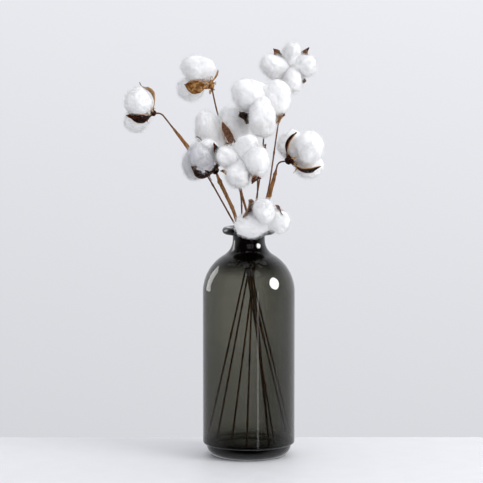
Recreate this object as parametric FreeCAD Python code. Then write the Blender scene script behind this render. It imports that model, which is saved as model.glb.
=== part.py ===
import FreeCAD, Part
import math
import os

from FreeCAD import Matrix, Placement, Rotation, Vector

# A bottle-shaped bud vase of smoked glass, holding nine wired cotton stems.
# Millimetres, +Z up, the origin at the centre of the face that the vase rests on.
# Each stem has a straight lower run inside the vase, a bend or two above the mouth, and a
# boll: a dried bur of three or four valves with a cotton lock between each two of them.

# ---- the vase: a turned outline ----------------------------------------------------------
VASE_HEIGHT = 240.0
BODY_RADIUS = 48.0
BODY_WALL = 2.7
FOOT_RADIUS = 44.2        # the foot stands in from the body by a small ledge
FOOT_CORNER = 11.5
LEDGE_HEIGHT = 12.6
LEDGE_ROUND = 2.4
FLOOR_HEIGHT = 12.0       # height of the floor inside, above the thick base
FLOOR_CORNER = 9.0
SHOULDER_HEIGHT = 172.0   # where the straight side turns into the shoulder
SHOULDER_RADIUS = 44.95
NECK_RADIUS = 16.8
NECK_FILLET = 18.0        # hollow curve from the shoulder up into the neck
BORE_RADIUS = 14.0
BORE_FILLET = 20.0
LIP_RADIUS = 27.7
LIP_BEAD = 3.85           # radius of the lip's rolled edge
LIP_FILLET = 2.5
MOUTH_FLARE = 9.0         # radius of the rounding from the lip's top into the bore

# ---- the cotton bolls, before each boll's own size factor --------------------------------
LOCK_OUT = 16.0           # from the boll's axis to a lock's centre
LOCK_UP = 19.5            # from the base of the boll to a lock's centre
LOCK_HALF_LENGTH = 14.0
LOCK_TILT = 20.0          # degrees, the tops leaning out
LOCK_GAP = 0.15           # each lock's share of the gap to its neighbour
LOCK_FLATTENING = 0.93    # radial thickness over width
WIDEST_TURN = 125.0       # degrees; a lock grows no wider in a larger gap

CUP_RADIUS = 16.66        # the section of the bur's cup
CUP_WIDEST_AT = (22.0, 18.5)   # radius and height of its widest place
CUP_ROOT_ANGLE = -95.0    # degrees round the section, where the valves leave the calyx
VALVE_CURL = 40.0         # radius of the outward curl of the tips
VALVE_THICKNESS = 1.1
VALVE_ROOT = -1.0         # height at which a valve starts, inside the calyx
VALVE_TIP = 30.5          # height of the tips
VALVE_TRIM = 2.0          # how far the curl runs on, before the tip is cut to a point
VALVE_TIP_HALF_WIDTH = 0.3
VALVE_ROOT_HALF_WIDTH = 2.2
VALVE_WIDEST = 12.0       # height of a valve's widest place
VALVE_SHARE = 0.057       # half width, per degree of the gap between its two locks
WIDEST_VALVE_GAP = 120.0
CALYX_RADIUS = 4.4        # the disc that the valves grow from, at its top
CALYX_FOOT_RADIUS = 2.2
CALYX_HEIGHT = 3.4
KNOB_RADIUS = 2.7         # the swollen end of the stalk, under the calyx

# ---- the stems ---------------------------------------------------------------------------
WIRE_RADIUS = 0.9
WRAP_RADIUS = 1.6         # the stem's bark-like wrapping, outside
WRAP_CLEARANCE = 0.02
BEND_SHARE = 0.45         # of the shorter run beside a bend, taken up by the bend
NECK_HEIGHT = 230.0       # height at which each stem's lower run ends

# Each stem: its foot inside the vase, the place where it passes NECK_HEIGHT, the points of
# its bends above that, the base and the axis of its boll, the turns of its locks about that
# axis (degrees, from straight up), its size, and the stretch of it that is wrapped, as two
# distances along it from its foot.
STEMS = {
    1: dict(foot=(43, 0, 26), neck=(-6.8, 1.3),
            bends=[(-15, 3, 243), (-42, 9, 291), (-61, 13, 319), (-91, 17, 357)],
            base=(-99, 17, 357), axis=(-0.93, 0, 0.36),
            locks=(-60, 60, 180), size=0.93, wrapped=(300, 345)),
    2: dict(foot=(-2.3, -39.4, 14), neck=(5.1, 3.9),
            bends=[(-4, 26, 260), (-18, 59, 306), (-34, 93, 355)],
            base=(-40, 109, 382), axis=(-0.66, 0.55, 0.52),
            locks=(-35, -175, 75), size=1.07, wrapped=(228, 292)),
    3: dict(foot=(-41.1, -12.8, 26), neck=(4.5, 8.9),
            bends=[(20, 25, 269), (32, 56, 350), (38, 69, 385)],
            base=(44, 74, 401), axis=(0.05, -0.97, 0.2),
            locks=(0, 90, 180, 270), size=0.96),
    4: dict(foot=(21, -28, 14), neck=(1.2, -8.5),
            bends=[(7, 0, 263), (14, 12, 306), (16, 22, 340)],
            base=(14, 26, 357), axis=(0, -0.92, 0.38),
            locks=(52, 180, -60), size=1.06),
    5: dict(foot=(26.6, -17.7, 14), neck=(-7.8, 6.6),
            bends=[(-7, 19, 266), (-13, 29, 297)],
            base=(-20, 36, 322), axis=(-0.5, -0.1, 0.86),
            locks=(-40, -130, 50, 140), size=1.01),
    6: dict(foot=(39.2, 1.3, 24), neck=(-9.7, -3.1),
            bends=[(-14, -8, 254), (-31, -15, 290)],
            base=(-34, -17, 299), axis=(-0.7, -0.15, 0.7),
            locks=(-90, 0, 90, 180), size=0.92, wrapped=(95, 284)),
    7: dict(foot=(21, -15, 14), neck=(-2.2, -8.5),
            bends=[(9, -20, 270), (9, -26, 293)],
            base=(3, -28, 299), axis=(-0.33, -0.77, 0.55),
            locks=(-8, 82, 172, 262), size=1.01),
    8: dict(foot=(-17.5, 24.8, 14), neck=(10.2, 0.4),
            bends=[(21, -12, 272), (30, -25, 309)],
            base=(40, -26, 310), axis=(0.8, 0.22, 0.56),
            locks=(90, -30, 210), size=1.07, wrapped=(70, 296)),
    9: dict(foot=(-33.8, 4.9, 14), neck=(6.4, -7.7),
            bends=[(12, -14, 251), (19, -46, 267)],
            base=(15, -61, 262), axis=(0, -0.82, -0.57),
            locks=(120, -10, -100), size=0.95),
}


def polar(centre, radius, degrees):
    """A point of a turned outline, on a circle about centre in the X-Z plane."""
    angle = math.radians(degrees)
    return centre + Vector(radius * math.cos(angle), 0, radius * math.sin(angle))


def arc(centre, radius, start, end):
    """An arc of a turned outline, from one angle to another in degrees."""
    points = [polar(centre, radius, turn) for turn in (start, (start + end) / 2, end)]
    return Part.Arc(*points).toShape()


def outline(*pieces):
    """One wire through the pieces in order, with straight lines across their gaps.

    A piece is an edge, which runs forwards, or a single point.
    """
    edges = []
    here = None
    for piece in pieces:
        point = isinstance(piece, Vector)
        first = piece if point else piece.valueAt(piece.FirstParameter)
        last = piece if point else piece.valueAt(piece.LastParameter)
        if here is not None and here.distanceToPoint(first) > 1e-6:
            edges.append(Part.makeLine(here, first))
        if not point:
            edges.append(piece)
        here = last
    return Part.Wire(edges)


def turned(wire):
    """The solid that a closed outline sweeps round the Z axis."""
    return Part.Face(wire).revolve(Vector(0, 0, 0), Vector(0, 0, 1), 360)


def angle_to(origin, point):
    """The direction from origin to point in the X-Z plane, in degrees."""
    return math.degrees(math.atan2(point.z - origin.z, point.x - origin.x))


def shoulder_edges(wall, neck_radius, fillet):
    """The shoulder's arc and the hollow arc that leads it up into the neck."""
    centre = Vector(BODY_RADIUS - SHOULDER_RADIUS, 0, SHOULDER_HEIGHT)
    radius = SHOULDER_RADIUS - wall
    across = neck_radius + fillet - centre.x
    rise = math.sqrt((radius + fillet) ** 2 - across ** 2)
    fillet_centre = centre + Vector(across, 0, rise)
    meeting = angle_to(centre, fillet_centre)
    return [arc(centre, radius, 0, meeting),
            arc(fillet_centre, fillet, meeting + 180, 180)]


def reversed_edges(edges):
    """The same edges, each drawn the other way round, in the opposite order."""
    result = []
    for edge in reversed(edges):
        middle = edge.valueAt((edge.FirstParameter + edge.LastParameter) / 2)
        ends = edge.valueAt(edge.LastParameter), edge.valueAt(edge.FirstParameter)
        result.append(Part.Arc(ends[0], middle, ends[1]).toShape())
    return result


def vase_glass():
    """The blown glass: foot, ledge, body, shoulder, neck and rolled lip, and the hollow."""
    foot_centre = Vector(FOOT_RADIUS - FOOT_CORNER, 0, FOOT_CORNER)
    ledge_centre = Vector(BODY_RADIUS - LEDGE_ROUND, 0, LEDGE_HEIGHT + LEDGE_ROUND)
    bead_centre = Vector(LIP_RADIUS - LIP_BEAD, 0, VASE_HEIGHT - LIP_BEAD)
    under_lip = Vector(NECK_RADIUS + LIP_FILLET, 0, VASE_HEIGHT - 2 * LIP_BEAD - LIP_FILLET)
    flare_centre = Vector(BORE_RADIUS + MOUTH_FLARE, 0, VASE_HEIGHT - MOUTH_FLARE)
    floor_centre = Vector(BODY_RADIUS - BODY_WALL - FLOOR_CORNER, 0,
                          FLOOR_HEIGHT + FLOOR_CORNER)
    outside = [
        Vector(0, 0, 0),
        arc(foot_centre, FOOT_CORNER, -90, 0),
        Vector(FOOT_RADIUS, 0, LEDGE_HEIGHT),
        arc(ledge_centre, LEDGE_ROUND, -90, 0),
        *shoulder_edges(0, NECK_RADIUS, NECK_FILLET),
        arc(under_lip, LIP_FILLET, 180, 90),
        arc(bead_centre, LIP_BEAD, -90, 90),
    ]
    inside = [
        arc(flare_centre, MOUTH_FLARE, 90, 180),
        *reversed_edges(shoulder_edges(BODY_WALL, BORE_RADIUS, BORE_FILLET)),
        arc(floor_centre, FLOOR_CORNER, 0, -90),
        Vector(0, 0, FLOOR_HEIGHT),
        Vector(0, 0, 0),
    ]
    return turned(outline(*outside, *inside))


def boll_placement(stem):
    """Where a boll stands: its axis along +Z, and its first turn towards straight up."""
    axis = Vector(*stem["axis"]).normalize()
    first = (Vector(0, 0, 1) - axis * axis.z).normalize()
    second = axis.cross(first)
    base = Vector(*stem["base"])
    turn = Matrix(first.x, second.x, axis.x, base.x,
                  first.y, second.y, axis.y, base.y,
                  first.z, second.z, axis.z, base.z,
                  0, 0, 0, 1)
    return Placement(turn)


def gaps_between(turns):
    """For each lock, in order of turn: its turn and the angle on to the next lock."""
    ordered = sorted(turn % 360 for turn in turns)
    following = ordered[1:] + [ordered[0] + 360]
    return [(turn, after - turn) for turn, after in zip(ordered, following)]


def lock(turn, nearest_gap):
    """One cotton lock: an egg shape that leans out and fills its share of the boll."""
    share = LOCK_OUT * math.sin(math.radians(min(nearest_gap, WIDEST_TURN) / 2))
    stretch = Matrix()
    stretch.scale(LOCK_FLATTENING * share, share - LOCK_GAP, LOCK_HALF_LENGTH)
    egg = Part.makeSphere(1.0).transformGeometry(stretch)
    egg.rotate(Vector(0, 0, 0), Vector(0, 1, 0), LOCK_TILT)
    egg.translate(Vector(LOCK_OUT, 0, LOCK_UP))
    egg.rotate(Vector(0, 0, 0), Vector(0, 0, 1), turn)
    return egg


def locks(stem):
    """The boll's cotton locks, each a solid in its place."""
    gaps = gaps_between(stem["locks"])
    placement = boll_placement(stem)
    solids = []
    for index, (turn, gap) in enumerate(gaps):
        solid = lock(turn, min(gap, gaps[index - 1][1]))
        solid.scale(stem["size"])
        solids.append(solid.transformed(placement.toMatrix()))
    return solids


def valve(half_width):
    """One pointed valve of the bur, on the +X side of the boll's axis."""
    widest = Vector(CUP_WIDEST_AT[0], 0, CUP_WIDEST_AT[1])
    cup_centre = widest - Vector(CUP_RADIUS, 0, 0)
    curl_centre = widest + Vector(VALVE_CURL, 0, 0)
    curl_turn = 180 - math.degrees(math.asin((VALVE_TIP + VALVE_TRIM - widest.z) / VALVE_CURL))
    section = outline(
        arc(cup_centre, CUP_RADIUS, CUP_ROOT_ANGLE, 0),
        arc(curl_centre, VALVE_CURL, 180, curl_turn),
        arc(curl_centre, VALVE_CURL + VALVE_THICKNESS, curl_turn, 180),
        arc(cup_centre, CUP_RADIUS - VALVE_THICKNESS, 0, CUP_ROOT_ANGLE),
        polar(cup_centre, CUP_RADIUS, CUP_ROOT_ANGLE),
    )
    root = Vector(0, VALVE_ROOT_HALF_WIDTH, VALVE_ROOT)
    side = Vector(0, half_width, VALVE_WIDEST)
    tip = Vector(0, VALVE_TIP_HALF_WIDTH, VALVE_TIP)
    mirrored = [Vector(0, -point.y, point.z) for point in (root, side, tip)]
    leaf = outline(
        Part.Arc(root, side, tip).toShape(),
        Part.Arc(*reversed(mirrored)).toShape(),
        root,
    )
    blade = Part.Face(leaf).extrude(Vector(2 * CUP_WIDEST_AT[0], 0, 0))
    return turned(section).common(blade)


def calyx():
    """The knob at the stalk's end and the small disc that the valves grow from."""
    knob = Part.makeSphere(KNOB_RADIUS)
    disc = Part.makeCone(CALYX_FOOT_RADIUS, CALYX_RADIUS, CALYX_HEIGHT)
    return knob.fuse(disc)


def bur(stem, wire):
    """The dried bur: valves in the gaps between the locks, on a calyx with a socket."""
    pieces = [calyx()]
    for turn, gap in gaps_between(stem["locks"]):
        blade = valve(VALVE_SHARE * min(gap, WIDEST_VALVE_GAP))
        blade.rotate(Vector(0, 0, 0), Vector(0, 0, 1), turn + gap / 2)
        pieces.append(blade)
    for piece in pieces:
        piece.scale(stem["size"])
    placement = boll_placement(stem).toMatrix()
    middle, *valves = [piece.transformed(placement) for piece in pieces]
    return middle.cut(wire).fuse(valves).removeSplitter()


def stem_points(stem):
    """The points of the stem's line, from its foot to the base of its boll."""
    neck = Vector(*stem["neck"], NECK_HEIGHT)
    return [Vector(*stem["foot"]), neck, *(Vector(*p) for p in stem["bends"]),
            Vector(*stem["base"])]


def stem_path(points):
    """Straight runs with a tangent arc at each bend, as edges in order."""
    edges = []
    here = points[0]
    for before, corner, after in zip(points, points[1:], points[2:]):
        back = (before - corner).normalize()
        on = (after - corner).normalize()
        half_turn = (math.pi - back.getAngle(on)) / 2
        reach = BEND_SHARE * min(corner.distanceToPoint(before), corner.distanceToPoint(after))
        radius = reach / math.tan(half_turn)
        start = corner + back * reach
        end = corner + on * reach
        inward = (back + on).normalize()
        middle = corner + inward * (radius / math.cos(half_turn) - radius)
        edges.append(Part.makeLine(here, start))
        edges.append(Part.Arc(start, middle, end).toShape())
        here = end
    edges.append(Part.makeLine(here, points[-1]))
    return edges


def between(edges, start, end):
    """The stretch of a path between two distances from its beginning."""
    kept = []
    passed = 0.0
    for edge in edges:
        low = max(start - passed, 0.0)
        high = min(end - passed, edge.Length)
        if high > low:
            first = edge.getParameterByLength(low)
            last = edge.getParameterByLength(high)
            kept.append(edge.Curve.toShape(first, last))
        passed += edge.Length
    return kept


def swept(edges, radius, hole=0.0):
    """A round rod along a path, or a tube where it has a hole."""
    first = edges[0]
    start = first.valueAt(first.FirstParameter)
    along = first.tangentAt(first.FirstParameter)
    face = Part.Face(Part.Wire(Part.makeCircle(radius, start, along)))
    if hole:
        face = face.cut(Part.Face(Part.Wire(Part.makeCircle(hole, start, along)))).Faces[0]
    return Part.Wire(edges).makePipe(face)


def stem_solids(number, stem):
    """Every piece of one stem, by name."""
    path = stem_path(stem_points(stem))
    wire = swept(path, WIRE_RADIUS)
    name = f"stem_{number}"
    solids = {f"{name}_wire": wire, f"{name}_bur": bur(stem, wire)}
    if "wrapped" in stem:
        solids[f"{name}_wrap"] = swept(between(path, *stem["wrapped"]), WRAP_RADIUS,
                                       WIRE_RADIUS + WRAP_CLEARANCE)
    for index, solid in enumerate(locks(stem), start=1):
        solids[f"{name}_lock_{index}"] = solid
    return solids


def main():
    solids = {"vase_glass": vase_glass()}
    for number, stem in STEMS.items():
        solids.update(stem_solids(number, stem))
    os.makedirs("parts", exist_ok=True)
    for name, solid in solids.items():
        solid.exportStep(f"parts/{name}.step")
    print(len(solids), "parts")


main()
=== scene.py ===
import math
import random

import bmesh
import bpy
import numpy as np
from mathutils import Matrix, Vector, noise
from mathutils.bvhtree import BVHTree

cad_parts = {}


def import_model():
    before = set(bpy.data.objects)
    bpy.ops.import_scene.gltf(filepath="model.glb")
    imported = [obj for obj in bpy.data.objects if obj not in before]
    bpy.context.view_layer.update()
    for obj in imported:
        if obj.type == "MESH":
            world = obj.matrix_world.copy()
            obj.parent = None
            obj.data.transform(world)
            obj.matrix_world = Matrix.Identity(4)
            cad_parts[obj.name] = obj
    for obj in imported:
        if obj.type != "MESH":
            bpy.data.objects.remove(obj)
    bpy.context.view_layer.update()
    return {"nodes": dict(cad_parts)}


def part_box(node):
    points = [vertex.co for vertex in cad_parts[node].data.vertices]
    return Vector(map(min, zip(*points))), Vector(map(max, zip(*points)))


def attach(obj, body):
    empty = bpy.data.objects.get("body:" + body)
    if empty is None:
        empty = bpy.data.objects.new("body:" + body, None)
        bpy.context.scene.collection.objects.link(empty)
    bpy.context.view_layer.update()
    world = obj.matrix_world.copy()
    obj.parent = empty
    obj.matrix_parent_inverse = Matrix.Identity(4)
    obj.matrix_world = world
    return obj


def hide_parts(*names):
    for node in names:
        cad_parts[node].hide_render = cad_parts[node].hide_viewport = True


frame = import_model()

# The looks of a smoked glass vase and the nine cotton stems that it holds. Metres, +Z up.
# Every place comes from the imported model: a stem's line from its wire, a boll's base, axis
# and size from its cotton locks, and the valves of its bur from the gaps between the locks.

MM = 0.001
STEM_NUMBERS = range(1, 10)

# ---- the boll, in millimetres before its own size factor --------------------------------
LOCK_UP = 19.5
CUP_RADIUS = 16.2
CUP_WIDEST_AT = (22.2, 18.5)
CUP_ROOT_TURN = -95.0
CURL_RADIUS = 16.0
CURL_TURN = 34.0
VALVE_THICKNESS = 1.0
VALVE_SHARE = 0.050        # half width of a valve, per degree of the gap that it stands in
WIDEST_GAP = 120.0
DARK_TIP = 0.90            # share of a valve's length past which its lining is dark too

# ---- how each boll's dry parts look -----------------------------------------------------
# Each valve's numbers are its width and its length next to an even valve's, in the order of
# the gaps between the locks. The valves in blackened are dark inside too, and flares says how
# steeply one half of a valve stands off the boll. calyx is the girth of the calyx next to an
# ordinary one, and bark is the radius of a wrapping in mm at its lower and upper end.
EVEN = (1.0, 1.0)
BUR_LOOKS = {
    1: dict(shell="dark", lining="tan", bracts=8, calyx=1.2, bark=(2.2, 1.0),
            flares={2: -0.5}, valves=(EVEN, EVEN, (1.9, 1.0))),
    2: dict(shell="golden", lining="tan", bracts=3, tendrils=3, bark=(1.3, 1.7),
            valves=((0.6, 0.6), (1.5, 0.68), (0.25, 0.35))),
    3: dict(shell="red", lining="brown", bracts=2,
            valves=((1.1, 1.04), (1.3, 0.95), (0.6, 0.80), (0.8, 1.06))),
    4: dict(shell="dark", lining="tan", bracts=2, blackened=(0,),
            valves=((1.2, 1.0), (1.0, 0.95), (1.0, 0.80))),
    5: dict(shell="brown", lining="tan", bracts=4,
            valves=(EVEN, (1.2, 1.0), (0.85, 1.08), EVEN)),
    6: dict(shell="dark", lining="brown", bracts=5, calyx=1.5, bark=(1.5, 2.2),
            valves=(EVEN, EVEN, (1.9, 1.0), (1.6, 1.0))),
    7: dict(shell="red", lining="tan", bracts=4,
            valves=((1.3, 1.0), (1.2, 1.0), (1.6, 1.05), EVEN)),
    8: dict(shell="dark", lining="tan", bracts=4, tendrils=2, calyx=1.3, bark=(1.0, 2.3),
            valves=((0.95, 0.84), (0.8, 0.9), (0.40, 0.80))),
    9: dict(shell="brown", lining="brown", bracts=3, flares={2: -0.6},
            valves=((0.5, 0.55), (0.8, 0.9), (1.9, 1.0))),
}
SHELL_COLOURS = {
    "dark": ((0.001, 0.0005, 0.0005), (0.070, 0.018, 0.006)),
    "brown": ((0.020, 0.005, 0.001), (0.250, 0.078, 0.014)),
    "red": ((0.014, 0.004, 0.002), (0.200, 0.045, 0.014)),
    "golden": ((0.120, 0.040, 0.008), (0.600, 0.320, 0.110)),
}
LINING_COLOURS = {
    "tan": ((0.330, 0.160, 0.060), (0.700, 0.450, 0.240)),
    "brown": ((0.060, 0.022, 0.012), (0.280, 0.130, 0.065)),
}
TWIG_COLOURS = ((0.035, 0.012, 0.004), (0.26, 0.105, 0.035))
BARK_COLOURS = ((0.050, 0.016, 0.004), (0.42, 0.19, 0.055))
TWIG_STREAKS = 90          # how fine the streaks are across a stem
BARK_STREAKS = 110
WHITE_COTTON = (0.95, 0.95, 0.945)
# The greyer cotton is painted shade: it darkens stem 6's locks as if the bolls beside them shaded
# them.
SHADE_PAINTED_COTTON = (0.67, 0.67, 0.69)
SHADE_PAINTED_LOCKS = ("stem_6_lock_2", "stem_6_lock_3", "stem_6_lock_4")
TABLE_COLOURS = ((0.76, 0.76, 0.77), (0.79, 0.79, 0.80))

# ---- the glass --------------------------------------------------------------------------
GLASS_COLOUR = (0.304, 0.296, 0.204)   # what is left of the light that the glass takes up
GLASS_DENSITY = 470.0
# Tint levels at shares of the height, darker at the thick neck and foot with painted shade added,
# and painted shade at shares of the width from left to right, darkest on the right.
TINT_AND_SHADE_UP = ((0.0, 0.36), (0.06, 0.46), (0.11, 0.78), (0.38, 0.87), (0.55, 0.98),
           (0.78, 1.0), (0.80, 0.90), (0.825, 0.45), (0.85, 0.14), (1.0, 0.12))
SHADE_ACROSS = ((0.0, 0.76), (0.1, 0.86), (0.25, 0.97), (0.5, 1.0), (0.75, 0.78),
               (0.93, 0.62), (1.0, 0.85))


# ---- materials --------------------------------------------------------------------------

class Paint:
    """A Principled material and short calls for the nodes that feed it."""

    def __init__(self, name):
        self.material = bpy.data.materials.new(name)
        self.material.use_nodes = True
        self.nodes = self.material.node_tree.nodes
        self.links = self.material.node_tree.links
        self.shader = self.nodes["Principled BSDF"]
        self.place = self.nodes.new("ShaderNodeTexCoord").outputs["Object"]

    def plain(self, **values):
        """Plain values on the shader's own sockets, with _ for the spaces in their names."""
        for name, value in values.items():
            self.shader.inputs[name.replace("_", " ")].default_value = value

    def stretched(self, scale):
        """The object's coordinates, scaled along each axis."""
        node = self.nodes.new("ShaderNodeMapping")
        node.inputs["Scale"].default_value = scale
        self.links.new(self.place, node.inputs["Vector"])
        return node.outputs["Vector"]

    def along(self, axis, low, high):
        """The place along one of the object's axes, from 0 at low to 1 at high."""
        apart = self.nodes.new("ShaderNodeSeparateXYZ")
        self.links.new(self.place, apart.inputs["Vector"])
        node = self.nodes.new("ShaderNodeMapRange")
        node.inputs["From Min"].default_value = low
        node.inputs["From Max"].default_value = high
        self.links.new(apart.outputs[axis], node.inputs["Value"])
        return node.outputs["Result"]

    def times(self, first, second):
        """One colour or level multiplied by another."""
        node = self.nodes.new("ShaderNodeVectorMath")
        node.operation = "MULTIPLY"
        self.links.new(first, node.inputs[0])
        self.links.new(second, node.inputs[1])
        return node.outputs["Vector"]

    def noise(self, scale, detail=3.0, roughness=0.55, distortion=0.0, vector=None):
        node = self.nodes.new("ShaderNodeTexNoise")
        node.inputs["Scale"].default_value = scale
        node.inputs["Detail"].default_value = detail
        node.inputs["Roughness"].default_value = roughness
        node.inputs["Distortion"].default_value = distortion
        self.links.new(vector or self.place, node.inputs["Vector"])
        return node.outputs["Fac"]

    def ramp(self, factor, *stops):
        """Colours or grey levels at places from 0 to 1, mixed along factor."""
        node = self.nodes.new("ShaderNodeValToRGB")
        elements = node.color_ramp.elements
        while len(elements) < len(stops):
            elements.new(0.5)
        for element, (position, colour) in zip(elements, stops):
            if not isinstance(colour, tuple):
                colour = (colour,) * 3
            element.position = position
            element.color = (*colour, 1)
        self.links.new(factor, node.inputs["Fac"])
        return node.outputs["Color"]

    def bump(self, height, distance, strength=1.0, under=None):
        node = self.nodes.new("ShaderNodeBump")
        node.inputs["Strength"].default_value = strength
        node.inputs["Distance"].default_value = distance
        self.links.new(height, node.inputs["Height"])
        if under:
            self.links.new(under, node.inputs["Normal"])
        return node.outputs["Normal"]

    def feed(self, name, output):
        self.links.new(output, self.shader.inputs[name])


def glass_material():
    """Smoked glass, clear and fire-polished, with the faint waves of a blown surface.

    It is tinted darker at the thick neck and foot, deepened with painted shade, and has painted
    shade towards the right.
    """
    paint = Paint("smoked_glass")
    paint.plain(Roughness=0.0, IOR=1.5, Transmission_Weight=1.0)
    low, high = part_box("vase_glass")
    # painted shade: the height ramp deepens the neck and foot, the width ramp darkens the right
    # side
    up = paint.ramp(paint.along("Z", low.z, high.z), *TINT_AND_SHADE_UP)
    across = paint.ramp(paint.along("X", low.x, high.x), *SHADE_ACROSS)
    paint.feed("Base Color", paint.times(up, across))
    paint.feed("Normal", paint.bump(paint.noise(14, 1.0), 0.0004, 0.25))
    absorption = paint.nodes.new("ShaderNodeVolumeAbsorption")
    absorption.inputs["Color"].default_value = (*GLASS_COLOUR, 1)
    absorption.inputs["Density"].default_value = GLASS_DENSITY
    output = paint.nodes["Material Output"]
    paint.links.new(absorption.outputs["Volume"], output.inputs["Volume"])
    return paint.material


def cotton_material(name, tone):
    """Loose cotton fibre: matt, white or greyed by its tone, where a greyer tone is painted shade,
    with fine matted wisps.
    """
    paint = Paint(name)
    paint.plain(Roughness=0.95, IOR=1.45, Specular_IOR_Level=0.15,
                Subsurface_Weight=0.35, Subsurface_Radius=(1.0, 1.0, 1.0),
                Subsurface_Scale=0.004, Sheen_Weight=0.2, Sheen_Roughness=0.6)
    dull = tuple(0.93 * level for level in tone)
    paint.feed("Base Color", paint.ramp(paint.noise(70, 3.0), (0.35, dull), (0.60, tone)))
    wisps = paint.noise(420, 5.0, 0.7, 1.2)
    tufts = paint.noise(160, 4.0, 0.6, 0.6)
    paint.feed("Normal", paint.bump(wisps, 0.0006, 0.5, paint.bump(tufts, 0.0012, 0.5)))
    return paint.material


def shell_material(name, dark, light):
    """The outside of a dry valve: mottled, veined and slightly polished by drying."""
    paint = Paint(name)
    paint.plain(Specular_IOR_Level=0.08)
    mottle = paint.noise(230, 4.0, 0.65, 0.8)
    paint.feed("Base Color", paint.ramp(mottle, (0.42, dark), (0.66, light)))
    paint.feed("Roughness", paint.ramp(mottle, (0.3, 0.45), (0.8, 0.8)))
    grain = paint.noise(900, 3.0, 0.6)
    paint.feed("Normal", paint.bump(grain, 0.0003, 0.6, paint.bump(mottle, 0.0008, 0.7)))
    return paint.material


def lining_material(name, dark, light):
    """The inside of a dry valve: satin, with darker fibres."""
    paint = Paint(name)
    paint.plain(Specular_IOR_Level=0.3)
    fibres = paint.noise(500, 4.0, 0.6, 0.5)
    paint.feed("Base Color", paint.ramp(fibres, (0.3, dark), (0.7, light)))
    paint.feed("Roughness", paint.ramp(fibres, (0.3, 0.75), (0.7, 0.5)))
    paint.feed("Normal", paint.bump(fibres, 0.0005, 0.6))
    return paint.material


def bark_material(name, dark, light, stretch):
    """Dry bark or paper tape along a stem, in streaks that run mostly up it."""
    paint = Paint(name)
    paint.plain(Specular_IOR_Level=0.3)
    streaks = paint.noise(9, 5.0, 0.65, 0.3, paint.stretched((stretch, stretch, 6)))
    paint.feed("Base Color", paint.ramp(streaks, (0.32, dark), (0.68, light)))
    paint.feed("Roughness", paint.ramp(streaks, (0.3, 0.9), (0.8, 0.55)))
    paint.feed("Normal", paint.bump(streaks, 0.0006, 0.8))
    return paint.material


def table_material():
    """A white painted table top, very slightly uneven."""
    paint = Paint("white_table")
    grain = paint.noise(40, 4.0)
    dark, light = TABLE_COLOURS
    paint.feed("Base Color", paint.ramp(grain, (0.3, dark), (0.7, light)))
    paint.feed("Roughness", paint.ramp(grain, (0.3, 0.5), (0.7, 0.6)))
    paint.feed("Normal", paint.bump(grain, 0.0002, 0.3))
    return paint.material


# ---- meshes -----------------------------------------------------------------------------

def piece(name, points, faces, materials, body, replaced, tints=None):
    """A smooth mesh piece that rides on a body and stands for its CAD nodes."""
    mesh = bpy.data.meshes.new(name)
    mesh.from_pydata([tuple(p) for p in points], [], [tuple(f) for f in faces])
    for material in materials:
        mesh.materials.append(material)
    if tints is not None:
        mesh.polygons.foreach_set("material_index", tints)
    mesh.polygons.foreach_set("use_smooth", [True] * len(mesh.polygons))
    mesh.update()
    obj = bpy.data.objects.new(name, mesh)
    bpy.context.scene.collection.objects.link(obj)
    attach(obj, body)
    if replaced:
        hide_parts(*replaced)
    return obj


class Shape:
    """Points and faces gathered from several parts, each face with its material's number."""

    def __init__(self):
        self.points = []
        self.faces = []
        self.tints = []

    def add(self, points, faces, tint=0):
        start = len(self.points)
        self.points.extend(points)
        self.faces.extend([start + corner for corner in face] for face in faces)
        self.tints.extend([tint] * len(faces))

    def moved(self, matrix):
        self.points = [matrix @ Vector(p) for p in self.points]
        return self


def rings_faces(rings, sides):
    """The faces of a closed tube of rings, with a face over each end."""
    faces = []
    for ring in range(rings - 1):
        for side in range(sides):
            a = ring * sides + side
            b = ring * sides + (side + 1) % sides
            faces.append((a, b, b + sides, a + sides))
    faces.append(tuple(reversed(range(sides))))
    faces.append(tuple(range((rings - 1) * sides, rings * sides)))
    return faces


def tube(line, radius, sides):
    """A tube along a line. radius(ring, side) gives the distance from the line."""
    line = [Vector(p) for p in line]
    points = []
    along = (line[1] - line[0]).normalized()
    across = along.orthogonal().normalized()
    for ring, centre in enumerate(line):
        before = line[max(ring - 1, 0)]
        after = line[min(ring + 1, len(line) - 1)]
        along = (after - before).normalized()
        across = (across - along * across.dot(along)).normalized()
        other = along.cross(across)
        for side in range(sides):
            turn = 2 * math.pi * side / sides
            out = across * math.cos(turn) + other * math.sin(turn)
            points.append(centre + out * radius(ring, side))
    return points, rings_faces(len(line), sides)


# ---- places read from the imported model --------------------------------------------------

def nodes_of(number, kind):
    """The names of one stem's CAD nodes of one kind, in order."""
    start = f"stem_{number}_{kind}"
    return sorted(name for name in frame["nodes"] if name.startswith(start))


def centreline(node):
    """The middle line of a bent rod, from its lowest end, as the centres of its rings."""
    mesh = frame["nodes"][node].data
    number = {}
    same = [number.setdefault(tuple(round(c, 6) for c in v.co), len(number))
            for v in mesh.vertices]
    points = np.array(list(number))
    beside = [set() for _ in points]
    for edge in mesh.edges:
        a, b = (same[v] for v in edge.vertices)
        beside[a].add(b)
        beside[b].add(a)
    lowest = points[points[:, 2].argmin()]
    reach = np.linalg.norm(points - lowest, axis=1)
    ring = set(np.flatnonzero(reach < 3 * MM).tolist())
    seen = set(ring)
    line = []
    while ring:
        line.append(points[sorted(ring)].mean(0))
        ring = set().union(*(beside[i] for i in ring)) - seen
        seen |= ring
    return np.array(line)


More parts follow.
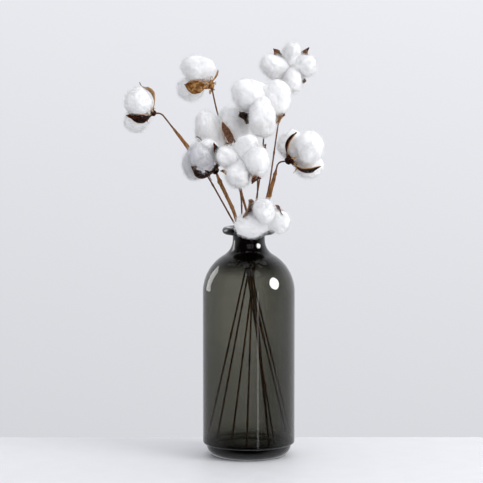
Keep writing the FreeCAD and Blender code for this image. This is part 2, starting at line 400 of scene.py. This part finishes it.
def evenly(line, step):
    """The same line with points about a step apart."""
    lengths = np.concatenate([[0], np.cumsum(np.linalg.norm(np.diff(line, axis=0), axis=1))])
    count = max(2, round(lengths[-1] / step))
    places = np.linspace(0, lengths[-1], count + 1)
    return np.stack([np.interp(places, lengths, line[:, k]) for k in range(3)], axis=1)


def middle(node):
    """The middle of a node's box."""
    low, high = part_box(node)
    return (low + high) / 2


def circle_centre(a, b, c):
    """The centre of the circle through three points."""
    u, v = b - a, c - a
    w = u.cross(v)
    return a + (v.cross(w) * u.length_squared + w.cross(u) * v.length_squared) / (
        2 * w.length_squared)


class Boll:
    """One boll's place: its base, its axis along local +Z, its size, and its locks' turns.

    The turns are rounded, so that the first lock always comes first, at 0 degrees.
    """

    def __init__(self, number):
        self.locks = nodes_of(number, "lock")
        centres = [middle(node) for node in self.locks]
        centre = circle_centre(*centres[:3])
        self.centre = centre
        self.base = Vector(centreline(f"stem_{number}_wire")[-1])
        self.axis = (centre - self.base).normalized()
        self.size = (centre - self.base).length / (LOCK_UP * MM)
        first = centres[0] - centre
        first = (first - self.axis * first.dot(self.axis)).normalized()
        second = self.axis.cross(first)
        turns = [math.degrees(math.atan2((c - centre).dot(second), (c - centre).dot(first)))
                 for c in centres]
        self.turns = sorted(round(turn, 2) % 360 for turn in turns)
        scale = self.size * MM
        self.matrix = Matrix((
            (first.x * scale, second.x * scale, self.axis.x * scale, self.base.x),
            (first.y * scale, second.y * scale, self.axis.y * scale, self.base.y),
            (first.z * scale, second.z * scale, self.axis.z * scale, self.base.z),
            (0, 0, 0, 1)))

    def gaps(self):
        """The middle and the width of each gap between two locks, in degrees."""
        following = self.turns[1:] + [self.turns[0] + 360]
        return [((a + b) / 2, b - a) for a, b in zip(self.turns, following)]


# ---- cotton -----------------------------------------------------------------------------

LOCK_DETAIL = 5            # subdivisions of the ball that each lock starts from
LOCK_SWELL = 1.3 * MM      # how far the fluff stands out from the CAD lock
LOCK_FILL = 5.0 * MM       # how much further it fills the middle of the boll
FIBRES = 1300
FIBRE_RADIUS = 0.08 * MM
FIBRE_STEPS = 3

# How each lock of cotton differs from its CAD form: its size across, in depth and upwards,
# and how far it sits from its place, in mm.
LOCK_SHAPES = {
    "stem_1_lock_1": ((0.92, 1.0, 0.95), (-3, 0, -1)),
    "stem_1_lock_2": ((0.92, 1.0, 0.82), (4.5, 0, -1)),
    "stem_1_lock_3": ((0.98, 1.0, 0.96), (-1.5, 0, -1)),
    "stem_2_lock_1": ((0.85, 1.0, 0.85), (-10, 0, -2)),
    "stem_2_lock_2": ((0.92, 1.0, 0.88), (-1, 0, 0)),
    "stem_2_lock_3": ((1.12, 1.0, 0.90), (-1, 0, -3)),
    "stem_3_lock_1": ((0.82, 1.0, 1.05), (1, 0, -3)),
    "stem_3_lock_2": ((1.25, 1.0, 1.05), (-3, 0, -1)),
    "stem_3_lock_3": ((0.85, 1.0, 1.05), (1, 0, 0)),
    "stem_3_lock_4": ((1.00, 1.0, 0.95), (-1, 0, 0)),
    "stem_4_lock_1": ((1.20, 1.1, 1.10), (0, 0, 2)),
    "stem_4_lock_2": ((0.92, 1.0, 1.32), (1, 0, 4)),
    "stem_4_lock_3": ((1.02, 1.0, 1.18), (0, 0, 1)),
    "stem_5_lock_1": ((1.00, 1.0, 1.05), (3, 0, 2)),
    "stem_5_lock_2": ((0.95, 1.0, 1.10), (1, 0, 0)),
    "stem_5_lock_3": ((1.05, 1.0, 1.45), (-4, 5, 5)),
    "stem_5_lock_4": ((1.15, 1.0, 1.15), (3, 1, 0)),
    "stem_6_lock_1": ((0.90, 1.0, 0.90), (-5, 0, -2)),
    "stem_6_lock_2": ((0.95, 1.0, 1.05), (-1, 0, 0)),
    "stem_6_lock_3": ((0.85, 1.0, 1.20), (-1, 0, 4)),
    "stem_6_lock_4": ((0.90, 1.0, 1.10), (-4, 0, 3)),
    "stem_7_lock_1": ((0.90, 1.0, 0.90), (-4, 0, 3)),
    "stem_7_lock_2": ((1.02, 1.0, 1.05), (-2, 0, 0)),
    "stem_7_lock_3": ((0.98, 1.0, 1.15), (-2, 0, 2)),
    "stem_7_lock_4": ((1.12, 1.0, 1.00), (-2, 0, 1)),
    "stem_8_lock_1": ((0.92, 1.0, 0.96), (0, 0, 3)),
    "stem_8_lock_2": ((0.85, 1.0, 0.85), (0, 0, -5)),
    "stem_8_lock_3": ((0.85, 1.0, 0.95), (-3, 0, -9)),
    "stem_9_lock_1": ((1.28, 1.0, 0.98), (1, 0, 3)),
    "stem_9_lock_2": ((0.95, 1.0, 0.95), (0, 0, 2)),
    "stem_9_lock_3": ((0.88, 1.0, 0.92), (-2, 0, 0)),
}


def ball():
    """The directions and faces of an evenly divided ball."""
    mesh = bmesh.new()
    bmesh.ops.create_icosphere(mesh, subdivisions=LOCK_DETAIL, radius=1.0)
    directions = [v.co.normalized() for v in mesh.verts]
    faces = [[v.index for v in face.verts] for face in mesh.faces]
    mesh.free()
    return directions, faces


def lumps(point, seed):
    """How far the cotton bulges at a point: soft lobes, then tufts, then creases."""
    shift = Vector((seed * 7.3, seed * -3.1, seed * 5.7))
    lobes = noise.noise(point * 62 + shift)
    waves = noise.noise(point * 125 - shift)
    tufts = noise.fractal(point * 330 + shift, 0.8, 2.1, 3)
    crease = max(0.0, 0.2 - abs(noise.noise(point * 80 + shift * 2))) / 0.2
    return (3.4 * lobes + 1.5 * waves + 0.5 * tufts - 0.9 * crease ** 2) * MM


def fibre(root, out, chance):
    """A fine fibre that lies along the surface, lifts off it and curls back."""
    side = out.orthogonal().normalized()
    side.rotate(Matrix.Rotation(chance.uniform(0, 2 * math.pi), 3, out))
    other = out.cross(side)
    length = chance.uniform(3.0, 7.0) * MM
    lift = chance.uniform(0.25, 1.1)
    curl = chance.uniform(-1.8, 1.8)
    line = []
    here = root - out * 0.4 * MM
    for step in range(FIBRE_STEPS + 1):
        line.append(here)
        share = step / FIBRE_STEPS
        turn = curl * share
        heading = side * math.cos(turn) + other * math.sin(turn) + out * lift * (1.4 - 2.4 * share)
        here = here + heading.normalized() * length / FIBRE_STEPS
    return tube(line, lambda ring, side: FIBRE_RADIUS * (1 - 0.6 * ring / FIBRE_STEPS), 3)


def cotton_lock(node, seed, boll, body, material):
    """One lock of cotton: the CAD lock's form, swollen, lumpy and fringed with fibres."""
    cad = frame["nodes"][node].data
    tree = BVHTree.FromPolygons([v.co for v in cad.vertices],
                                [p.vertices for p in cad.polygons])
    centre = middle(node)
    out = (centre - boll.centre).normalized()
    size, shift = LOCK_SHAPES[node]
    stretch = Matrix.Diagonal(size)
    place = centre + Vector(shift) * MM
    directions, faces = BALL
    points = []
    for direction in directions:
        hit = tree.ray_cast(centre, direction)[0]
        inward = max(0.0, -direction.dot(out))
        swell = LOCK_SWELL + lumps(hit, seed) + LOCK_FILL * inward ** 3
        points.append(place + stretch @ (hit + direction * swell - centre))
    shape = Shape()
    shape.add(points, faces)
    chance = random.Random(seed)
    for _ in range(FIBRES):
        pick = chance.randrange(len(points))
        shape.add(*fibre(points[pick], directions[pick], chance))
    name = node.replace("lock", "cotton")
    return piece(name, shape.points, shape.faces, [material], body, [node])


# ---- the dry bur ------------------------------------------------------------------------

VALVE_STEPS = 22
VALVE_COLUMNS = 10


def cup_line(share):
    """Radius and height along a valve, from the calyx (0) over the cup to the tip (1)."""
    cup_share = 0.76
    widest = Vector(CUP_WIDEST_AT)
    if share < cup_share:
        turn = math.radians(CUP_ROOT_TURN * (1 - share / cup_share))
        centre = widest - Vector((CUP_RADIUS, 0))
        return centre + CUP_RADIUS * Vector((math.cos(turn), math.sin(turn)))
    turn = math.radians(CURL_TURN * (share - cup_share) / (1 - cup_share))
    centre = widest + Vector((CURL_RADIUS, 0))
    return centre - CURL_RADIUS * Vector((math.cos(turn), -math.sin(turn)))


def valve_half_width(share, widest):
    """Broad past the middle of the cup and drawn in to a point."""
    belly = math.sin(math.pi * share ** 1.15) ** 0.8
    root = 0.42 * max(0.0, 1 - share / 0.3)
    point = 0.16 * math.sqrt(max(0.0, 1 - share))
    return widest * max(belly, root, point)


def valve(turn, widest, length, flare, seed, chance):
    """One valve as a thin shell: its outside, its lining and the rim between them.

    Flare is the slope at which one half of the valve stands off the boll: its left half
    for a positive flare and its right half for a negative one.
    """
    rows = []
    bend = chance.uniform(-1.5, 1.5)
    curl = chance.uniform(0.6, 1.5)
    for step in range(VALVE_STEPS + 1):
        share = step / VALVE_STEPS
        place = cup_line(share * length)
        place.x += curl * 5 * max(0.0, share - 0.8)
        half = valve_half_width(share, widest)
        row = []
        for column in range(VALVE_COLUMNS + 1):
            across = 2 * column / VALVE_COLUMNS - 1
            wave = noise.noise(Vector((share * 6, across * 1.5, seed * 3.7)))
            ragged = 1 + 0.22 * noise.noise(Vector((share * 9, across, seed * 1.9)))
            fold = 1.6 * abs(across) ** 2.2 * math.sin(math.pi * share)
            open_edge = half * max(0.0, flare * across) * math.sin(math.pi * share)
            radius = place.x + fold + 1.0 * wave * share + open_edge
            angle = (across * half * ragged + bend * share * share) / max(radius, 4.0)
            row.append(Vector((radius * math.cos(angle), radius * math.sin(angle),
                               place.y - 0.6 * abs(across) * share)))
        rows.append(row)
    return shell(rows, turn)


def shell(rows, turn):
    """A grid of points given thickness. Returns outside, inside and rim, in that order."""
    tall, wide = len(rows), len(rows[0])
    outside, inside = [], []
    for i in range(tall):
        for j in range(wide):
            up = rows[min(i + 1, tall - 1)][j] - rows[max(i - 1, 0)][j]
            over = rows[i][min(j + 1, wide - 1)] - rows[i][max(j - 1, 0)]
            normal = over.cross(up)
            normal = normal.normalized() if normal.length > 1e-9 else Vector((1, 0, 0))
            outside.append(rows[i][j])
            inside.append(rows[i][j] - normal * VALVE_THICKNESS * (1 - 0.5 * i / tall))
    spin = Matrix.Rotation(math.radians(turn), 4, "Z")
    points = [spin @ p for p in outside + inside]
    count = tall * wide
    outer, inner, rim = [], [], []
    for i in range(tall - 1):
        for j in range(wide - 1):
            a = i * wide + j
            outer.append((a, a + 1, a + wide + 1, a + wide))
            inner.append(tuple(count + k for k in (a, a + wide, a + wide + 1, a + 1)))
    border = [j for j in range(wide)]
    border += [i * wide + wide - 1 for i in range(1, tall)]
    border += [(tall - 1) * wide + j for j in range(wide - 2, -1, -1)]
    border += [i * wide for i in range(tall - 2, 0, -1)]
    for a, b in zip(border, border[1:] + border[:1]):
        rim.append((b, a, a + count, b + count))
    return points, outer, inner, rim


def calyx(girth):
    """The swollen end of the stalk and the five-lobed disc that the valves grow from."""
    heights = ((-2.6, 1.3), (-1.6, 2.5), (-0.2, 2.9), (0.7, 2.7), (1.4, 3.6), (2.4, 5.2),
               (3.4, 5.6), (3.6, 4.6), (3.0, 2.0))
    sides = 25
    points = []
    for height, radius in heights:
        for side in range(sides):
            turn = 2 * math.pi * side / sides
            lobe = 1 + 0.14 * math.cos(5 * turn) * max(0.0, height) / 3
            reach = radius * lobe * girth
            points.append(Vector((reach * math.cos(turn), reach * math.sin(turn), height)))
    return points, rings_faces(len(heights), sides)


def bract(chance):
    """A narrow dry leaf at the foot of the boll, curled back."""
    turn = chance.uniform(0, 2 * math.pi)
    length = chance.uniform(6, 11)
    width = chance.uniform(0.9, 1.6)
    droop = chance.uniform(-1.2, 1.4)
    rows = []
    for step in range(9):
        share = step / 8
        out = 3.5 + length * math.sin(1.5 * share)
        height = 1.0 + droop * 4 * share * share + 2.5 * math.sin(3.0 * share)
        half = width * (1 - share) ** 0.6 + 0.15
        twist = chance.uniform(-0.2, 0.2) + 1.2 * share
        rows.append([Vector((out, half * a * math.cos(twist), height + half * a * math.sin(twist)))
                     for a in (-1, -0.5, 0, 0.5, 1)])
    return shell(rows, math.degrees(turn))


def tendril(chance):
    """A fine dry thread that curls beside the foot of the boll."""
    turn = chance.uniform(0, 2 * math.pi)
    heading = Vector((math.cos(turn), math.sin(turn), -0.2))
    side = Vector((-heading.y, heading.x, 0.6))
    here = Vector((3 * heading.x, 3 * heading.y, 1.0))
    bend = chance.uniform(0.22, 0.34)
    line = []
    for step in range(16):
        line.append(here)
        angle = bend * step
        here = here + (heading * math.cos(angle) + side * math.sin(angle)) * 1.1
    return tube(line, lambda ring, side: 0.26, 5)


def bur(number, boll, materials):
    """The dry bur of one boll: its valves, calyx, bracts and tendrils."""
    look = BUR_LOOKS[number]
    chance = random.Random(100 + number)
    shape = Shape()
    shape.add(*calyx(look.get("calyx", 1.0)))
    dark_row = round(DARK_TIP * VALVE_STEPS) * VALVE_COLUMNS
    for index, (turn, gap) in enumerate(boll.gaps()):
        width, length = look["valves"][index]
        widest = VALVE_SHARE * min(gap, WIDEST_GAP) * width
        flare = look.get("flares", {}).get(index, 0.0)
        seed = 10 * number + index
        points, outer, inner, rim = valve(turn, widest, length, flare, seed, chance)
        shape.add(points, outer + inner + rim)
        light = 0 if index in look.get("blackened", ()) else dark_row
        lining = [1] * light + [0] * (len(inner) - light)
        shape.tints[-len(inner) - len(rim):] = lining + [1] * len(rim)
    for _ in range(look["bracts"]):
        points, outer, inner, rim = bract(chance)
        shape.add(points, outer + inner + rim, 1)
    for _ in range(look.get("tendrils", 0)):
        shape.add(*tendril(chance))
    shape.moved(boll.matrix)
    return piece(f"stem_{number}_dry_bur", shape.points, shape.faces,
                 [materials[look["shell"]], materials[look["lining"]]], f"stem_{number}",
                 [f"stem_{number}_bur"], shape.tints)


# ---- stems ------------------------------------------------------------------------------

STEM_STEP = 1.5 * MM
STEM_SIDES = 10


def knots(length, chance):
    """The places of a stem's small swellings along it, and how much each one swells."""
    places = []
    here = chance.uniform(10, 25) * MM
    while here < length:
        places.append((here, chance.uniform(0.15, 0.45)))
        here += chance.uniform(22, 48) * MM
    return places


def rod(line, thickness, rough, seed):
    """A stem along a line, with ridges and knots. thickness(share) is its radius."""
    chance = random.Random(seed)
    length = STEM_STEP * (len(line) - 1)
    swellings = knots(length, chance)

    def radius(ring, side):
        place = ring * STEM_STEP
        swell = sum(amount * math.exp(-((place - at) / (1.6 * MM)) ** 2)
                    for at, amount in swellings)
        turn = 2 * math.pi * side / STEM_SIDES
        uneven = noise.noise(Vector((math.cos(turn) * 1.3, math.sin(turn) * 1.3,
                                     place * 220 + seed * 9.1)))
        return thickness(ring / (len(line) - 1)) * (1 + rough * uneven + swell)

    return tube(line, radius, STEM_SIDES)


def twig(number, material):
    """The stem itself, from its foot in the vase to the base of the boll."""
    line = evenly(centreline(f"stem_{number}_wire"), STEM_STEP)
    points, faces = rod(line, lambda share: (0.98 - 0.16 * share) * MM, 0.10, number)
    return piece(f"stem_{number}_twig", points, faces, [material], f"stem_{number}",
                 [f"stem_{number}_wire"])


def bark(number, material):
    """The thicker bark-like wrapping over part of a stem, its radius going from the given foot
    value to the given top value.
    """
    node = f"stem_{number}_wrap"
    line = evenly(centreline(f"stem_{number}_wire"), STEM_STEP)
    low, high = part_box(node)
    inside = (line[:, 2] > low.z + 0.8 * MM) & (line[:, 2] < high.z - 0.8 * MM)
    stretch = line[inside]
    foot, top = BUR_LOOKS[number]["bark"]

    def thickness(share):
        ends = min(1.0, 12 * share + 0.55, 9 * (1 - share) + 0.5)
        return (foot + (top - foot) * share ** 3) * ends * MM

    points, faces = rod(stretch, thickness, 0.16, 40 + number)
    return piece(f"stem_{number}_bark", points, faces, [material], f"stem_{number}",
                 [node])


# ---- the setting ------------------------------------------------------------------------

CAMERA_AT = Vector((-0.0076, -2.4, 0.4625))
LOOKS_AT = Vector((-0.0076, 0.0, 0.2245))
LENS = 172.85
TABLE_BACK = 0.105
TABLE_DEPTH = 3.0
TABLE_HALF_WIDTH = 2.0
TABLE_THICKNESS = 0.03
LIGHTS_AIM = Vector((0.0, 0.0, 0.19))
LIGHTS_DISTANCE = 2.0
SOFT_FILL = 0.11           # how much brighter matt surfaces find the room than it looks
SKY_TINT = (0.976, 0.988, 1.037)


def camera():
    """The camera, a little above the vase and looking down at it."""
    data = bpy.data.cameras.new("camera")
    data.lens = LENS
    data.sensor_width = 36.0
    data.clip_end = 50.0
    obj = bpy.data.objects.new("camera", data)
    obj.location = CAMERA_AT
    obj.rotation_euler = (LOOKS_AT - CAMERA_AT).to_track_quat("-Z", "Y").to_euler()
    bpy.context.scene.collection.objects.link(obj)
    bpy.context.scene.camera = obj


def world():
    """A pale studio all round: brighter above than below, and brighter on the right.

    Polished surfaces see it darker in front of the vase and above, where no lamps hang.
    """
    sky = bpy.data.worlds.new("studio")
    bpy.context.scene.world = sky
    sky.use_nodes = True
    nodes, links = sky.node_tree.nodes, sky.node_tree.links

    def ramp(value, low, high, *stops):
        reach = nodes.new("ShaderNodeMapRange")
        reach.inputs["From Min"].default_value = low
        reach.inputs["From Max"].default_value = high
        links.new(value, reach.inputs["Value"])
        colours = nodes.new("ShaderNodeValToRGB")
        elements = colours.color_ramp.elements
        while len(elements) < len(stops):
            elements.new(0.5)
        for element, (place, level) in zip(elements, stops):
            element.position = (place - low) / (high - low)
            element.color = (level, level, level, 1)
        links.new(reach.outputs["Result"], colours.inputs["Fac"])
        return colours.outputs["Color"]

    def combined(operation, first, second):
        node = nodes.new("ShaderNodeMath")
        node.operation = operation
        for socket, value in zip(node.inputs, (first, second)):
            if isinstance(value, float):
                socket.default_value = value
            else:
                links.new(value, socket)
        return node.outputs["Value"]

    direction = nodes.new("ShaderNodeSeparateXYZ")
    links.new(nodes.new("ShaderNodeTexCoord").outputs["Generated"], direction.inputs["Vector"])
    height = ramp(direction.outputs["Z"], -1.0, 1.0, (-1.0, 0.60), (-0.19, 0.705), (0.01, 0.87),
                  (0.5, 0.95), (1.0, 1.0))
    side = ramp(direction.outputs["X"], -1.0, 1.0, (-1.0, 0.62), (-0.1, 0.955), (0.1, 1.0),
                (1.0, 1.0))
    behind = combined("SUBTRACT", direction.outputs["Y"],
                      combined("MULTIPLY", direction.outputs["Z"], 0.7))
    front = ramp(behind, -1.0, 1.0, (-1.0, 0.02), (-0.5, 0.04), (0.0, 0.72), (0.3, 1.0))
    level = combined("MULTIPLY", height, side)
    path = nodes.new("ShaderNodeLightPath")
    mirrored = combined("MULTIPLY", path.outputs["Is Glossy Ray"],
                        path.outputs["Is Reflection Ray"])
    unlit = combined("MULTIPLY", mirrored, combined("SUBTRACT", 1.0, front))
    level = combined("MULTIPLY", level, combined("SUBTRACT", 1.0, unlit))
    fill = combined("MULTIPLY", path.outputs["Is Diffuse Ray"], SOFT_FILL)
    level = combined("MULTIPLY", level, combined("ADD", 1.0, fill))
    background = nodes["Background"]
    background.inputs["Color"].default_value = (*SKY_TINT, 1)
    links.new(level, background.inputs["Strength"])


def table():
    """The white table, with its back edge just behind the vase."""
    mesh = bpy.data.meshes.new("table")
    half = TABLE_HALF_WIDTH
    front = TABLE_BACK - TABLE_DEPTH
    corners = [(x, y, z) for z in (-TABLE_THICKNESS, 0.0)
               for x, y in ((-half, front), (half, front), (half, TABLE_BACK),
                            (-half, TABLE_BACK))]
    mesh.from_pydata(corners, [], [(3, 2, 1, 0), (4, 5, 6, 7), (0, 1, 5, 4), (1, 2, 6, 5),
                                   (2, 3, 7, 6), (3, 0, 4, 7)])
    mesh.materials.append(table_material())
    obj = bpy.data.objects.new("table", mesh)
    bpy.context.scene.collection.objects.link(obj)
    edge = obj.modifiers.new("edge", "BEVEL")
    edge.width = 0.006
    edge.segments = 4
    obj.visible_glossy = False


def area_light(name, direction, width, height, radiance, diffuse, glossy):
    """A soft light that faces the vase, round if its height is 0.

    diffuse and glossy say whether matt surfaces and reflections see it.
    """
    data = bpy.data.lights.new(name, "AREA")
    data.shape = "RECTANGLE" if height else "DISK"
    data.size = width
    surface = width * height if height else math.pi * (width / 2) ** 2
    if height:
        data.size_y = height
    data.energy = radiance * math.pi * surface
    obj = bpy.data.objects.new(name, data)
    obj.location = LIGHTS_AIM + Vector(direction).normalized() * LIGHTS_DISTANCE
    obj.rotation_euler = (LIGHTS_AIM - obj.location).to_track_quat("-Z", "Y").to_euler()
    obj.visible_diffuse = diffuse
    obj.visible_glossy = glossy
    obj.visible_camera = False
    obj.visible_transmission = False
    bpy.context.scene.collection.objects.link(obj)


def lights():
    """A key light for matt surfaces, and three lamps that only show in reflections."""
    area_light("key", (0.85, -0.50, 0.60), 1.2, 0, 4.4, True, False)
    area_light("round_reflection", (0.895, -0.300, 0.345), 0.95, 0, 24.0, False, True)
    area_light("window_reflection", (-0.80, 0.5, 0.24), 0.70, 1.25, 3.4, False, True)
    area_light("strip_reflection", (0.38, -0.92, -0.12), 0.15, 1.0, 1.7, False, True)


# ---- the whole --------------------------------------------------------------------------

def build():
    """The glass's material, and the cotton, bur, twig and bark of every stem."""
    glass = frame["nodes"]["vase_glass"]
    glass.data.materials.clear()
    glass.data.materials.append(glass_material())
    white = cotton_material("cotton", WHITE_COTTON)
    shaded = cotton_material("painted_shade_cotton", SHADE_PAINTED_COTTON)
    twig_bark = bark_material("twig_bark", *TWIG_COLOURS, TWIG_STREAKS)
    rough_bark = bark_material("rough_bark", *BARK_COLOURS, BARK_STREAKS)
    shells = {name: shell_material(f"bur_{name}", *colours)
              for name, colours in SHELL_COLOURS.items()}
    shells.update({name: lining_material(f"lining_{name}", *colours)
                   for name, colours in LINING_COLOURS.items()})
    for number in STEM_NUMBERS:
        boll = Boll(number)
        for index, node in enumerate(boll.locks):
            # stem 6's locks get the greyer cotton, which is painted shade
            cotton_lock(node, 10 * number + index, boll, f"stem_{number}",
                        shaded if node in SHADE_PAINTED_LOCKS else white)
        bur(number, boll, shells)
        twig(number, twig_bark)
        if nodes_of(number, "wrap"):
            bark(number, rough_bark)


BALL = ball()
bpy.context.scene.view_settings.view_transform = "Standard"
build()
camera()
world()
lights()
table()
